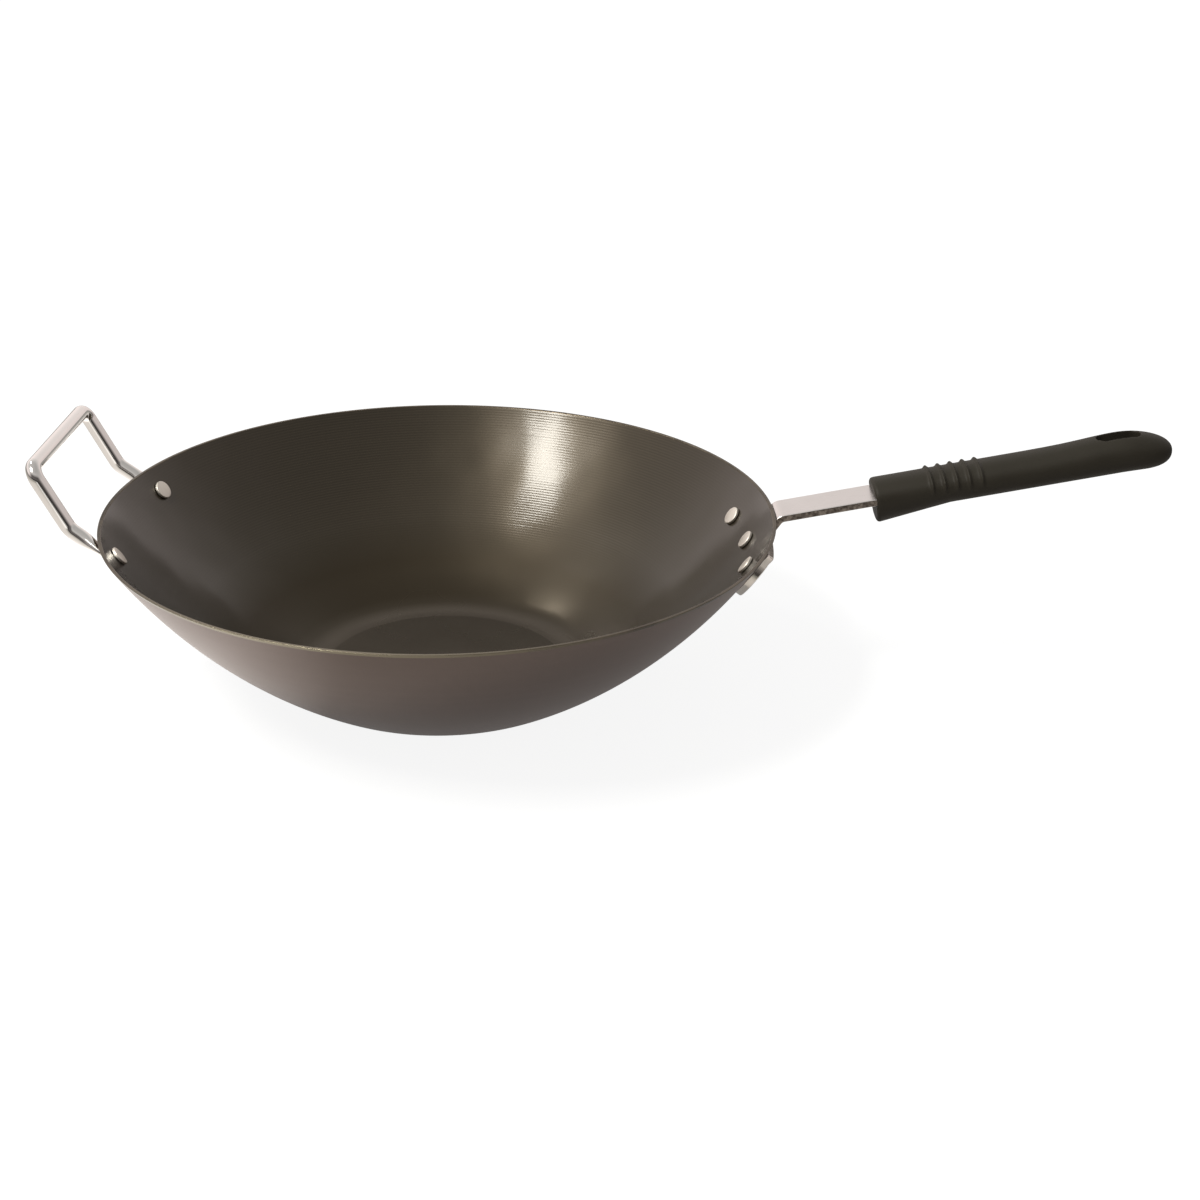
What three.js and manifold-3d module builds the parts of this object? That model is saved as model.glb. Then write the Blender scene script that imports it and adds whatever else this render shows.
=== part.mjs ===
// Flat-bottom steel wok with a long riveted handle and a riveted helper loop.
// Millimetres. +Z is up and +X runs along the long handle.
// The origin is the centre of the flat base, on its underside.

import * as THREE from 'three';
import { mergeVertices } from 'three/addons/utils/BufferGeometryUtils.js';
import Module from 'manifold-3d';

const wasm = await Module();
wasm.setup();

// Bowl: outside sizes of the spun shell
const RIM_RADIUS = 177.8;
const DEPTH = 95.25;
const BASE_RADIUS = 66.9;
const BASE_FILLET = 39.5;
const WALL_ARC = 276.3;
const WALL = 1.6;

// Gap between pieces that lie against each other
const CLEARANCE = 0.3;

// Rivets: a low flat head inside the bowl, a peened dome outside
const RIVET_SHANK = 6;
const RIVET_HEAD = 10.4;
const RIVET_HEAD_HEIGHT = 1.3;
const RIVET_HEAD_EDGE = 0.5;
const RIVET_DOME = 8.4;
const RIVET_DOME_HEIGHT = 1.5;

// Long handle: foot plate on the wall, bent strap and tang, all one piece of flat bar
const BAR_THICKNESS = 3.8;
const HANDLE_RIVETS = 3;
const HANDLE_RIVET_PITCH = 35.6;
const HANDLE_RIVET_DROP = 22.5;
const FOOT_END = 26;
const FOOT_HEIGHT = 26;
const NECK_RISE = 22.9;
const BEND_RADIUS = 2.6;
const HANDLE_RISE = 10.8;
const STRAP_WIDTH = 22.8;
const STRAP_LENGTH = 51.3;
const TANG_SHOULDER = 14;
const TANG_WIDTH = 14;

// Grip: an oval moulding round the tang
const GRIP_LENGTH = 160.1;
const GRIP_CHEEK = 1.4;
const GRIP_TOP = 8.9;
const GRIP_BOTTOM = 9.8;
const GRIP_SQUARENESS = 2.2;
const FRONT_CORNER = 1.8;
const FRONT_EDGE = 1.8;
const FLARE_LENGTH = 40;
const FLARE_DROP = 5;
const CREST_HEIGHT = 2;
const NOSE_TOP = 30;
const NOSE_SIDE = 24;
const NOSE_BOTTOM = 17;
const NOSE_BLUNTNESS = 2.4;
const NOSE_DIP = 1.8;
const RIB_COUNT = 5;
const RIB_PITCH = 6.6;
const RIB_SETBACK = 30.4;
const RIB_WIDTH = 3;
const RIB_HEIGHT = 1.6;
const HANG_HOLE_LENGTH = 23.4;
const HANG_HOLE_WIDTH = 10;
const HANG_HOLE_SETBACK = 27.5;
const TANG_END_WALL = 22;

// Screw that holds the grip on the tang, from below
const SCREW_SETBACK = 60;
const SCREW_SHANK = 4;
const SCREW_HEAD = 7.6;
const SCREW_HEAD_HEIGHT = 2.4;
const SCREW_RECESS = 1;
const SCREW_SLOT_WIDTH = 1.1;
const SCREW_SLOT_DEPTH = 1.2;

// Helper loop: one bent rod with its ends flattened against the wall, bent a little to one side
const HELPER_AZIMUTH = 177.4;
const HELPER_SPAN = 96.5;
const HELPER_RIVET_DROP = 14.7;
const HELPER_LEAN = 4;
const ROD = 8;
const TAB_THICKNESS = 3;
const TAB_WIDTH = 13;
const TAB_MARGIN = 0.8;
const KNEE_OUT = 22.9;
const KNEE_RISE = 14.2;
const BAR_OUT = 16.5;
const BAR_RISE = 31.9;
const KNEE_BEND = 5;
const CORNER_BEND = 2.5;

// Facets
const ROUND_STEPS = 96;
const FILLET_STEPS = 4;
const WALL_STEPS = 10;
const RIVET_STEPS = 16;
const DOME_STEPS = 4;
const BEND_STEPS = 5;
const GRIP_STEPS = 24;
const NOSE_STEPS = 8;
const ROD_STEPS = 12;
const WELD = 1e-4;

const bowlSteel = new THREE.MeshStandardMaterial({ color: 0x4f4a47, roughness: 0.5, metalness: 0.5 });
const barSteel = new THREE.MeshStandardMaterial({ color: 0xc9c4c3, roughness: 0.35, metalness: 1 });
const rivetSteel = new THREE.MeshStandardMaterial({ color: 0xb9b1a6, roughness: 0.35, metalness: 1 });
const rodChrome = new THREE.MeshStandardMaterial({ color: 0xd6d2cc, roughness: 0.12, metalness: 1 });
const gripBlack = new THREE.MeshStandardMaterial({ color: 0x2c2824, roughness: 0.55, metalness: 0 });

// Solids

// A closed geometry as a solid: shared corners merged, collapsed faces dropped, faces turned outwards.
function solid(geometry) {
  const bare = new THREE.BufferGeometry();
  const open = geometry.index ? geometry.toNonIndexed() : geometry;
  bare.setAttribute('position', open.getAttribute('position'));
  const merged = mergeVertices(bare, WELD);
  const corners = merged.index.array;
  const vertProperties = merged.getAttribute('position').array;
  const faces = [];
  for (let i = 0; i < corners.length; i += 3) {
    const [a, b, c] = corners.slice(i, i + 3);
    if (a !== b && b !== c && c !== a) faces.push([a, b, c]);
  }
  const volume = faces.reduce((sum, face) => sum + signedVolume(vertProperties, face), 0);
  const facingOut = volume < 0 ? faces.map(([a, b, c]) => [a, c, b]) : faces;
  const triVerts = new Uint32Array(facingOut.flat());
  return new wasm.Manifold(new wasm.Mesh({ numProp: 3, vertProperties, triVerts }));
}

function signedVolume(positions, face) {
  const [a, b, c] = face.map((corner) => new THREE.Vector3().fromArray(positions, corner * 3));
  return a.dot(b.cross(c)) / 6;
}

function mesh(name, body, material) {
  const made = body.getMesh();
  const geometry = new THREE.BufferGeometry();
  geometry.setAttribute('position', new THREE.BufferAttribute(made.vertProperties, 3));
  geometry.setIndex(new THREE.BufferAttribute(made.triVerts, 1));
  geometry.computeVertexNormals();
  const part = new THREE.Mesh(geometry, material);
  part.name = name;
  return part;
}

// A body lofted through rings of points, each ring with as many points.
// A fan to a point closes it at each end.
function loft(rings, frontPoint, backPoint) {
  const count = rings[0].length;
  const points = rings.flat();
  const faces = [];
  for (let ring = 0; ring + 1 < rings.length; ring += 1) {
    for (let k = 0; k < count; k += 1) {
      const a = ring * count + k;
      const b = ring * count + (k + 1) % count;
      faces.push(a, b, b + count, a, b + count, a + count);
    }
  }
  const last = (rings.length - 1) * count;
  const front = points.push(frontPoint) - 1;
  const back = points.push(backPoint) - 1;
  for (let k = 0; k < count; k += 1) {
    const next = (k + 1) % count;
    faces.push(front, next, k, back, last + k, last + next);
  }
  const geometry = new THREE.BufferGeometry().setFromPoints(points);
  geometry.setIndex(faces);
  return solid(geometry);
}

// A body of revolution about +Z from a closed profile of (radius, height) points.
function turned(profile, steps) {
  const geometry = new THREE.LatheGeometry([...profile, profile[0]], steps);
  return solid(geometry.rotateX(Math.PI / 2));
}

// A flat outline in the XY plane of a frame, extruded the same way to both sides of it.
function prism(outline, reach, frame) {
  const geometry = new THREE.ExtrudeGeometry(outline, { depth: 2 * reach, bevelEnabled: false });
  return solid(geometry.translate(0, 0, -reach).applyMatrix4(frame));
}

// A round bar along the Z axis of a frame.
function bore(diameter, from, to, frame) {
  const geometry = new THREE.CylinderGeometry(diameter / 2, diameter / 2, to - from, RIVET_STEPS);
  geometry.rotateX(Math.PI / 2).translate(0, 0, (from + to) / 2);
  return solid(geometry.applyMatrix4(frame));
}

// An outline with straight sides and round ends, long side along X.
function stadium(length, width) {
  const outline = new THREE.Shape();
  const straight = (length - width) / 2;
  outline.absarc(straight, 0, width / 2, -Math.PI / 2, Math.PI / 2);
  outline.absarc(-straight, 0, width / 2, Math.PI / 2, 3 * Math.PI / 2);
  return outline;
}

// Bowl wall: an arc tangent to the base fillet that ends at the rim

function wallArcCentre() {
  const fillet = new THREE.Vector2(BASE_RADIUS, BASE_FILLET);
  const chord = new THREE.Vector2(RIM_RADIUS, DEPTH).sub(fillet);
  const reach = WALL_ARC - BASE_FILLET;
  const span = chord.length();
  const along = (reach ** 2 - WALL_ARC ** 2 + span ** 2) / (2 * span);
  const across = Math.sqrt(reach ** 2 - along ** 2);
  const side = chord.clone().rotateAround(new THREE.Vector2(), Math.PI / 2);
  return fillet.addScaledVector(chord, along / span).addScaledVector(side, across / span);
}

const ARC_CENTRE = wallArcCentre();
const FILLET_ANGLE = Math.atan2(BASE_RADIUS - ARC_CENTRE.x, ARC_CENTRE.y - BASE_FILLET);
const RIM_ANGLE = rimAngle(0);

// Slope of the wall where it reaches the level cut of the rim, moved out by an offset.
function rimAngle(offset) {
  return Math.acos((ARC_CENTRE.y - DEPTH) / (WALL_ARC + offset));
}

// Radius and height on the wall, where its slope is the angle given, moved out by an offset.
function wallPoint(angle, offset) {
  const radius = WALL_ARC + offset;
  return new THREE.Vector2(
    ARC_CENTRE.x + radius * Math.sin(angle),
    ARC_CENTRE.y - radius * Math.cos(angle),
  );
}

function wallAngle(drop) {
  return RIM_ANGLE - drop / WALL_ARC;
}

function arcPoints(from, to, steps, offset) {
  const points = [];
  for (let k = 0; k <= steps; k += 1) {
    points.push(wallPoint(THREE.MathUtils.lerp(from, to, k / steps), offset));
  }
  return points;
}

// The shell's profile from the edge of the flat base to the rim, moved out by an offset.
function shellProfile(offset) {
  const points = [];
  for (let k = 0; k < FILLET_STEPS; k += 1) {
    const angle = FILLET_ANGLE * k / FILLET_STEPS;
    const radius = BASE_FILLET + offset;
    points.push(new THREE.Vector2(
      BASE_RADIUS + radius * Math.sin(angle),
      BASE_FILLET - radius * Math.cos(angle),
    ));
  }
  return [...points, ...arcPoints(FILLET_ANGLE, rimAngle(offset), WALL_STEPS, offset)];
}

// A frame on the outer wall: Z along the outward normal, Y up the wall, X round the bowl.
function wallFrame(azimuth, angle) {
  const { x: radius, y: height } = wallPoint(angle, 0);
  const outward = new THREE.Vector3(Math.cos(azimuth), Math.sin(azimuth), 0);
  const normal = outward.clone().multiplyScalar(Math.sin(angle)).setZ(-Math.cos(angle));
  const up = outward.clone().multiplyScalar(Math.cos(angle)).setZ(Math.sin(angle));
  const round = new THREE.Vector3().crossVectors(up, normal);
  const place = outward.multiplyScalar(radius).setZ(height);
  return new THREE.Matrix4().makeBasis(round, up, normal).setPosition(place);
}

// Rivets

function rivetHoles(frames) {
  const reach = RIVET_HEAD + BAR_THICKNESS + TAB_THICKNESS;
  return frames.map((frame) => bore(RIVET_SHANK + 2 * CLEARANCE, -reach, reach, frame));
}

// How far the hollow wall comes up under a flat head: at the head's edge, and by the wall's own facets.
const wallStep = (RIM_ANGLE - FILLET_ANGLE) / WALL_STEPS;
const facetSag = RIM_RADIUS * (1 - Math.cos(Math.PI / ROUND_STEPS)) + WALL_ARC * (1 - Math.cos(wallStep / 2));
const headSag = RIVET_HEAD ** 2 / (8 * RIM_RADIUS) + facetSag;

// A rivet through the wall and a plate of the thickness given, in a wall frame.
function rivet(name, plate, frame) {
  const inside = -WALL - CLEARANCE - headSag;
  const outside = CLEARANCE + plate + CLEARANCE;
  const face = inside - RIVET_HEAD_HEIGHT;
  const profile = [
    new THREE.Vector2(0, face),
    new THREE.Vector2(RIVET_HEAD / 2 - RIVET_HEAD_EDGE, face),
    new THREE.Vector2(RIVET_HEAD / 2, face + RIVET_HEAD_EDGE),
    new THREE.Vector2(RIVET_HEAD / 2, inside),
    new THREE.Vector2(RIVET_SHANK / 2, inside),
    new THREE.Vector2(RIVET_SHANK / 2, outside),
  ];
  for (let k = 0; k <= DOME_STEPS; k += 1) {
    const angle = Math.PI / 2 * k / DOME_STEPS;
    const radius = k < DOME_STEPS ? RIVET_DOME / 2 * Math.cos(angle) : 0;
    profile.push(new THREE.Vector2(radius, outside + RIVET_DOME_HEIGHT * Math.sin(angle)));
  }
  const part = mesh(name, turned(profile, RIVET_STEPS), rivetSteel);
  part.applyMatrix4(frame);
  return part;
}

const handleRivetAngle = wallAngle(HANDLE_RIVET_DROP);
const handleRivetTurn = HANDLE_RIVET_PITCH / wallPoint(handleRivetAngle, 0).x;
const handleRivetFrames = [];
for (let k = 0; k < HANDLE_RIVETS; k += 1) {
  const azimuth = (k - (HANDLE_RIVETS - 1) / 2) * handleRivetTurn;
  handleRivetFrames.push(wallFrame(azimuth, handleRivetAngle));
}

// Long handle

const rise = THREE.MathUtils.degToRad(HANDLE_RISE);
const barMiddle = CLEARANCE + BAR_THICKNESS / 2;
const neckAngle = handleRivetAngle + NECK_RISE / WALL_ARC;
const neckTop = wallPoint(neckAngle, barMiddle);
const tangLength = GRIP_LENGTH - HANG_HOLE_SETBACK - HANG_HOLE_LENGTH / 2 - TANG_END_WALL;
const gripHalf = STRAP_WIDTH / 2 + GRIP_CHEEK;

// The handle's own frame: X runs along the strap's middle from the bend, Z is square to its faces.
const handle = new THREE.Group();
handle.position.set(neckTop.x, 0, neckTop.y);
handle.rotation.y = -rise;
handle.updateMatrix();

// The foot plate: a slice of a ring that follows the outer wall, cut to a round-ended outline.
function footPlate() {
  const length = (HANDLE_RIVETS - 1) * HANDLE_RIVET_PITCH + 2 * FOOT_END;
  const halfTurn = (FOOT_HEIGHT / 2 + BAR_THICKNESS) / WALL_ARC;
  const low = handleRivetAngle - halfTurn;
  const high = handleRivetAngle + halfTurn;
  const near = arcPoints(low, high, FILLET_STEPS, CLEARANCE);
  const far = arcPoints(low, high, FILLET_STEPS, CLEARANCE + BAR_THICKNESS);
  const ring = turned([...far, ...near.reverse()], ROUND_STEPS);
  const outline = stadium(length, FOOT_HEIGHT);
  return ring.intersect(prism(outline, length / 2, wallFrame(0, handleRivetAngle)));
}

// Stops along the middle of the bar: up the wall from inside the foot, round the bend, along the strap.
// Each has the bar's slope and half its thickness there: its root is thinner, to stay inside the foot.
function barStops() {
  const half = BAR_THICKNESS / 2;
  const bend = BEND_RADIUS + half;
  const tangent = bend * Math.tan((neckAngle - rise) / 2);
  const rootAngle = handleRivetAngle + FOOT_HEIGHT / 4 / WALL_ARC;
  const clearAngle = handleRivetAngle + (FOOT_HEIGHT / 2 + CLEARANCE) / WALL_ARC;
  const bendAngle = neckAngle - tangent / WALL_ARC;
  const stops = [
    { point: wallPoint(rootAngle, barMiddle), slope: rootAngle, half: half / 2 },
    { point: wallPoint(clearAngle, barMiddle), slope: clearAngle, half },
    { point: wallPoint(bendAngle, barMiddle), slope: bendAngle, half },
  ];
  const along = new THREE.Vector2(Math.cos(rise), Math.sin(rise));
  const square = new THREE.Vector2(-Math.sin(rise), Math.cos(rise));
  const hub = neckTop.clone().addScaledVector(along, tangent).addScaledVector(square, -bend);
  for (let k = 1; k <= BEND_STEPS; k += 1) {
    const slope = THREE.MathUtils.lerp(bendAngle, rise, k / BEND_STEPS);
    const spoke = new THREE.Vector2(-Math.sin(slope), Math.cos(slope));
    stops.push({ point: hub.clone().addScaledVector(spoke, bend), slope, half });
  }
  const end = neckTop.clone().addScaledVector(along, STRAP_LENGTH + tangLength);
  stops.push({ point: end, slope: rise, half });
  return stops;
}

function bentBar() {
  const stops = barStops();
  const face = (side) => stops.map(({ point, slope, half }) => new THREE.Vector2(
    point.x - side * half * Math.sin(slope),
    point.y + side * half * Math.cos(slope),
  ));
  const outline = new THREE.Shape([...face(1), ...face(-1).reverse()]);
  const upright = new THREE.Matrix4().makeRotationX(Math.PI / 2);
  return prism(outline, STRAP_WIDTH / 2, upright);
}

// What is cut off the bar's sides to leave the narrow tang.
function tangSides() {
  const length = tangLength - TANG_SHOULDER + STRAP_WIDTH;
  return [-1, 1].map((side) => {
    const waste = new THREE.BoxGeometry(length, STRAP_WIDTH, 2 * STRAP_WIDTH);
    const start = STRAP_LENGTH + TANG_SHOULDER;
    waste.translate(start + length / 2, side * (TANG_WIDTH + STRAP_WIDTH) / 2, 0);
    return solid(waste.applyMatrix4(handle.matrix));
  });
}

function handleBracket() {
  const screwFrame = new THREE.Matrix4().setPosition(STRAP_LENGTH + SCREW_SETBACK, 0, 0);
  screwFrame.premultiply(handle.matrix);
  const cuts = [
    ...rivetHoles(handleRivetFrames),
    ...tangSides(),
    bore(SCREW_SHANK + 2 * CLEARANCE, -BAR_THICKNESS, BAR_THICKNESS, screwFrame),
  ];
  return cuts.reduce((body, cut) => body.subtract(cut), footPlate().add(bentBar()));
}

// Grip, in a frame whose X runs along the tang's middle from the grip's front face

// How far a rounded end has closed at a distance past its start: 1 at the start, 0 at the tip.
function noseShare(distance, length) {
  const share = THREE.MathUtils.clamp(distance / length, 0, 1);
  return (1 - share ** NOSE_BLUNTNESS) ** (1 / NOSE_BLUNTNESS);
}

// How far a round edge of the front face draws the outline in.
function frontInset(station, radius) {
  return radius - radius * Math.sqrt(1 - Math.max(0, 1 - station / radius) ** 2);
}

// How far the ribs stand proud at a place along the grip and a height above its middle.
function ribProud(station, height) {
  const fromFirst = station - RIB_SETBACK;
  const index = THREE.MathUtils.clamp(Math.round(fromFirst / RIB_PITCH), 0, RIB_COUNT - 1);
  const offset = Math.abs(fromFirst - index * RIB_PITCH) / (RIB_WIDTH / 2);
  const profile = offset < 1 ? Math.cos(offset * Math.PI / 2) ** 2 : 0;
  return RIB_HEIGHT * profile * THREE.MathUtils.smoothstep(height, -GRIP_BOTTOM / 4, GRIP_TOP / 2);
}

// One ring of the grip's skin, at a distance from its front face.
function gripRing(station) {
  const toTip = GRIP_LENGTH - station;
  const edge = frontInset(station, FRONT_EDGE);
  const crest = CREST_HEIGHT * Math.exp(-(((toTip - HANG_HOLE_SETBACK) / HANG_HOLE_LENGTH) ** 2));
  const flare = FLARE_DROP * Math.max(0, 1 - station / FLARE_LENGTH);
  const corner = frontInset(station, FRONT_CORNER);
  const side = (gripHalf - corner) * noseShare(NOSE_SIDE - toTip, NOSE_SIDE);
  const top = (GRIP_TOP + crest - edge) * noseShare(NOSE_TOP - toTip, NOSE_TOP);
  const bottom = (GRIP_BOTTOM + flare - edge) * noseShare(NOSE_BOTTOM - toTip, NOSE_BOTTOM);
  const power = 2 / GRIP_SQUARENESS;
  const ring = [];
  for (let k = 0; k < GRIP_STEPS; k += 1) {
    const across = Math.cos(2 * Math.PI * k / GRIP_STEPS);
    const up = Math.sin(2 * Math.PI * k / GRIP_STEPS);
    const y = side * Math.sign(across) * Math.abs(across) ** power;
    const z = (up > 0 ? top : bottom) * Math.sign(up) * Math.abs(up) ** power;
    const proud = ribProud(station, z);
    ring.push(new THREE.Vector3(station, y + proud * across, z + proud * up - noseDip(toTip)));
  }
  return ring;
}

function noseDip(toTip) {
  return NOSE_DIP * Math.max(0, 1 - toTip / NOSE_TOP) ** 2;
}

// Places along the grip that get a ring: the round front, the flare's end, the ribs and the nose.
function gripStations() {
  const stations = [FLARE_LENGTH];
  for (let k = 0; k <= DOME_STEPS; k += 1) {
    const share = 1 - Math.cos(Math.PI / 2 * k / DOME_STEPS);
    stations.push(FRONT_EDGE * share, FRONT_CORNER * share);
  }
  for (let rib = 0; rib < RIB_COUNT; rib += 1) {
    for (const share of [-1, -0.5, 0, 0.5, 1]) {
      stations.push(RIB_SETBACK + rib * RIB_PITCH + share * RIB_WIDTH / 2);
    }
  }
  for (let k = 0; k < NOSE_STEPS; k += 1) {
    const toTip = NOSE_TOP * (1 - Math.sin(Math.PI / 2 * k / NOSE_STEPS));
    stations.push(GRIP_LENGTH - toTip, GRIP_LENGTH - NOSE_TOP - toTip);
  }
  stations.sort((a, b) => a - b);
  return stations.filter((station, k) => k === 0 || station - stations[k - 1] > CLEARANCE);
}

function gripBlank() {
  const front = new THREE.Vector3(0, 0, 0);
  const tip = new THREE.Vector3(GRIP_LENGTH, 0, -noseDip(0));
  return loft(gripStations().map(gripRing), front, tip);
}

// The slot that the strap's end and the tang slide into, open at the front face.
function tangSlot() {
  const wide = STRAP_WIDTH / 2 + CLEARANCE;
  const narrow = TANG_WIDTH / 2 + CLEARANCE;
  const shoulder = TANG_SHOULDER + CLEARANCE;
  const end = tangLength + CLEARANCE;
  const outline = new THREE.Shape([
    new THREE.Vector2(-FRONT_CORNER, -wide),
    new THREE.Vector2(shoulder, -wide),
    new THREE.Vector2(shoulder, -narrow),
    new THREE.Vector2(end, -narrow),
    new THREE.Vector2(end, narrow),
    new THREE.Vector2(shoulder, narrow),
    new THREE.Vector2(shoulder, wide),
    new THREE.Vector2(-FRONT_CORNER, wide),
  ]);
  return prism(outline, BAR_THICKNESS / 2 + CLEARANCE, new THREE.Matrix4());
}

const screwSeat = -GRIP_BOTTOM + SCREW_RECESS + SCREW_HEAD_HEIGHT + CLEARANCE;

function handleGrip() {
  const hangFrame = new THREE.Matrix4().setPosition(GRIP_LENGTH - HANG_HOLE_SETBACK, 0, 0);
  const screwFrame = new THREE.Matrix4().setPosition(SCREW_SETBACK, 0, 0);
  const below = -GRIP_BOTTOM - FLARE_DROP;
  const cuts = [
    tangSlot(),
    prism(stadium(HANG_HOLE_LENGTH, HANG_HOLE_WIDTH), 2 * gripHalf, hangFrame),
    bore(SCREW_HEAD + 2 * CLEARANCE, below, screwSeat, screwFrame),
    bore(SCREW_SHANK + 2 * CLEARANCE, below, 0, screwFrame),
  ];
  return cuts.reduce((body, cut) => body.subtract(cut), gripBlank());
}

function gripScrew() {
  const under = screwSeat - CLEARANCE;
  const face = under - SCREW_HEAD_HEIGHT;
  const profile = [
    new THREE.Vector2(0, face),
    new THREE.Vector2(SCREW_HEAD / 2, face),
    new THREE.Vector2(SCREW_HEAD / 2, under),
    new THREE.Vector2(SCREW_SHANK / 2, under),
    new THREE.Vector2(SCREW_SHANK / 2, BAR_THICKNESS / 2),
    new THREE.Vector2(0, BAR_THICKNESS / 2),
  ];
  const slot = new THREE.BoxGeometry(2 * SCREW_HEAD, SCREW_SLOT_WIDTH, 2 * SCREW_SLOT_DEPTH);
  return turned(profile, RIVET_STEPS).subtract(solid(slot.translate(0, 0, face)));
}

// Helper loop

const helperAzimuth = THREE.MathUtils.degToRad(HELPER_AZIMUTH);
const helperOut = new THREE.Vector3(Math.cos(helperAzimuth), Math.sin(helperAzimuth), 0);
const helperAcross = new THREE.Vector3(-Math.sin(helperAzimuth), Math.cos(helperAzimuth), 0);
const helperRivetAngle = wallAngle(HELPER_RIVET_DROP);
const helperRivetTurn = Math.asin(HELPER_SPAN / 2 / wallPoint(helperRivetAngle, 0).x);
const helperRivetFrames = [-1, 1].map(
  (side) => wallFrame(helperAzimuth + side * helperRivetTurn, helperRivetAngle),
);

// An arc of the radius given in place of a path's corner between two neighbours.
function cornerArc(before, corner, after, radius) {
  const back = before.clone().sub(corner).normalize();
  const ahead = after.clone().sub(corner).normalize();
  const half = back.angleTo(ahead) / 2;
  const hub = back.clone().add(ahead).normalize().multiplyScalar(radius / Math.sin(half)).add(corner);
  const spoke = corner.clone().addScaledVector(back, radius / Math.tan(half)).sub(hub);
  const axis = new THREE.Vector3().crossVectors(ahead, back).normalize();
  const arc = [];
  for (let k = 0; k <= BEND_STEPS; k += 1) {
    const turn = (Math.PI - 2 * half) * k / BEND_STEPS;
    arc.push(spoke.clone().applyAxisAngle(axis, turn).add(hub));
  }
  return arc;
}

// Stops along one end of the loop, from the tab's round tip to the start of the top bar.
// Each has half the rod's width there and half its thickness square to the wall.
function helperEnd(frame, otherCorner) {
  const normal = new THREE.Vector3().setFromMatrixColumn(frame, 2);
  const seat = new THREE.Vector3().setFromMatrixPosition(frame);
  const up = new THREE.Vector3().crossVectors(helperAcross, normal).normalize();
  up.multiplyScalar(Math.sign(up.z));
  const tabHalf = TAB_THICKNESS / 2;
  const rodHalf = ROD / 2;
  const tabMiddle = seat.clone().addScaledVector(normal, CLEARANCE + tabHalf);
  const stops = [];
  for (let k = 1; k <= DOME_STEPS; k += 1) {
    const angle = Math.PI / 2 * k / DOME_STEPS;
    const point = tabMiddle.clone().addScaledVector(up, -TAB_WIDTH / 2 * Math.cos(angle));
    stops.push({ point, across: TAB_WIDTH / 2 * Math.sin(angle), out: tabHalf });
  }
  const tabTop = tabMiddle.clone().addScaledVector(up, RIVET_DOME / 2 + TAB_MARGIN);
  stops.push({ point: tabTop, across: (TAB_WIDTH / 2 + rodHalf) / 2, out: tabHalf });
  const knee = helperKnee(seat);
  const corner = helperCorner(seat);
  const ramp = knee.clone().sub(tabTop).normalize();
  ramp.multiplyScalar((rodHalf - tabHalf) / ramp.dot(normal));
  const rodStops = [
    tabTop.clone().add(ramp),
    ...cornerArc(tabTop, knee, corner, KNEE_BEND + rodHalf),
    ...cornerArc(knee, corner, otherCorner, CORNER_BEND + rodHalf),
  ];
  return [...stops, ...rodStops.map((point) => ({ point, across: rodHalf, out: rodHalf }))];
}

function helperKnee(seat) {
  const knee = seat.clone().addScaledVector(helperOut, KNEE_OUT).setZ(seat.z + KNEE_RISE);
  return knee.addScaledVector(helperAcross, -HELPER_LEAN);
}

function helperCorner(seat) {
  const knee = helperKnee(seat);
  return knee.clone().addScaledVector(helperOut, BAR_OUT).setZ(knee.z + BAR_RISE);
}

// A body swept along stops, with its first oval section turned to face the normal given.
function sweep(stops, firstNormal) {
  const normal = firstNormal.clone();
  const heading = stops[1].point.clone().sub(stops[0].point).normalize();
  const rings = stops.map((stop, k) => {
    const before = stops[Math.max(k - 1, 0)].point;
    const after = stops[Math.min(k + 1, stops.length - 1)].point;
    const next = after.clone().sub(before).normalize();
    normal.applyQuaternion(new THREE.Quaternion().setFromUnitVectors(heading, next));
    heading.copy(next);
    return ovalRing(stop, new THREE.Vector3().crossVectors(heading, normal), normal);
  });
  return loft(rings, middleOf(rings[0]), middleOf(rings.at(-1)));
}

function ovalRing({ point, across, out }, acrossAxis, outAxis) {
  const ring = [];
  for (let k = 0; k < ROD_STEPS; k += 1) {
    const angle = 2 * Math.PI * (k + 0.5) / ROD_STEPS;
    const corner = point.clone().addScaledVector(acrossAxis, across * Math.cos(angle));
    ring.push(corner.addScaledVector(outAxis, out * Math.sin(angle)));
  }
  return ring;
}

function middleOf(ring) {
  return ring.reduce((sum, corner) => sum.add(corner), new THREE.Vector3()).divideScalar(ring.length);
}

function helperHandle() {
  const seats = helperRivetFrames.map((frame) => new THREE.Vector3().setFromMatrixPosition(frame));
  const [first, second] = helperRivetFrames;
  const stops = [
    ...helperEnd(first, helperCorner(seats[1])),
    ...helperEnd(second, helperCorner(seats[0])).reverse(),
  ];
  const rod = sweep(stops, new THREE.Vector3().setFromMatrixColumn(first, 2));
  return rivetHoles(helperRivetFrames).reduce((body, hole) => body.subtract(hole), rod);
}

// Bowl

function wokBowl() {
  const profile = [
    new THREE.Vector2(0, 0),
    ...shellProfile(0),
    ...shellProfile(-WALL).reverse(),
    new THREE.Vector2(0, WALL),
  ];
  const holes = rivetHoles([...handleRivetFrames, ...helperRivetFrames]);
  return holes.reduce((body, hole) => body.subtract(hole), turned(profile, ROUND_STEPS));
}

// Assembly

const wok = new THREE.Group();
wok.add(mesh('wok_bowl', wokBowl(), bowlSteel));
wok.add(mesh('handle_bracket', handleBracket(), barSteel));
handleRivetFrames.forEach((frame, k) => wok.add(rivet(`handle_rivet_${k + 1}`, BAR_THICKNESS, frame)));
wok.add(mesh('helper_handle', helperHandle(), rodChrome));
helperRivetFrames.forEach((frame, k) => wok.add(rivet(`helper_rivet_${k + 1}`, TAB_THICKNESS, frame)));

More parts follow.
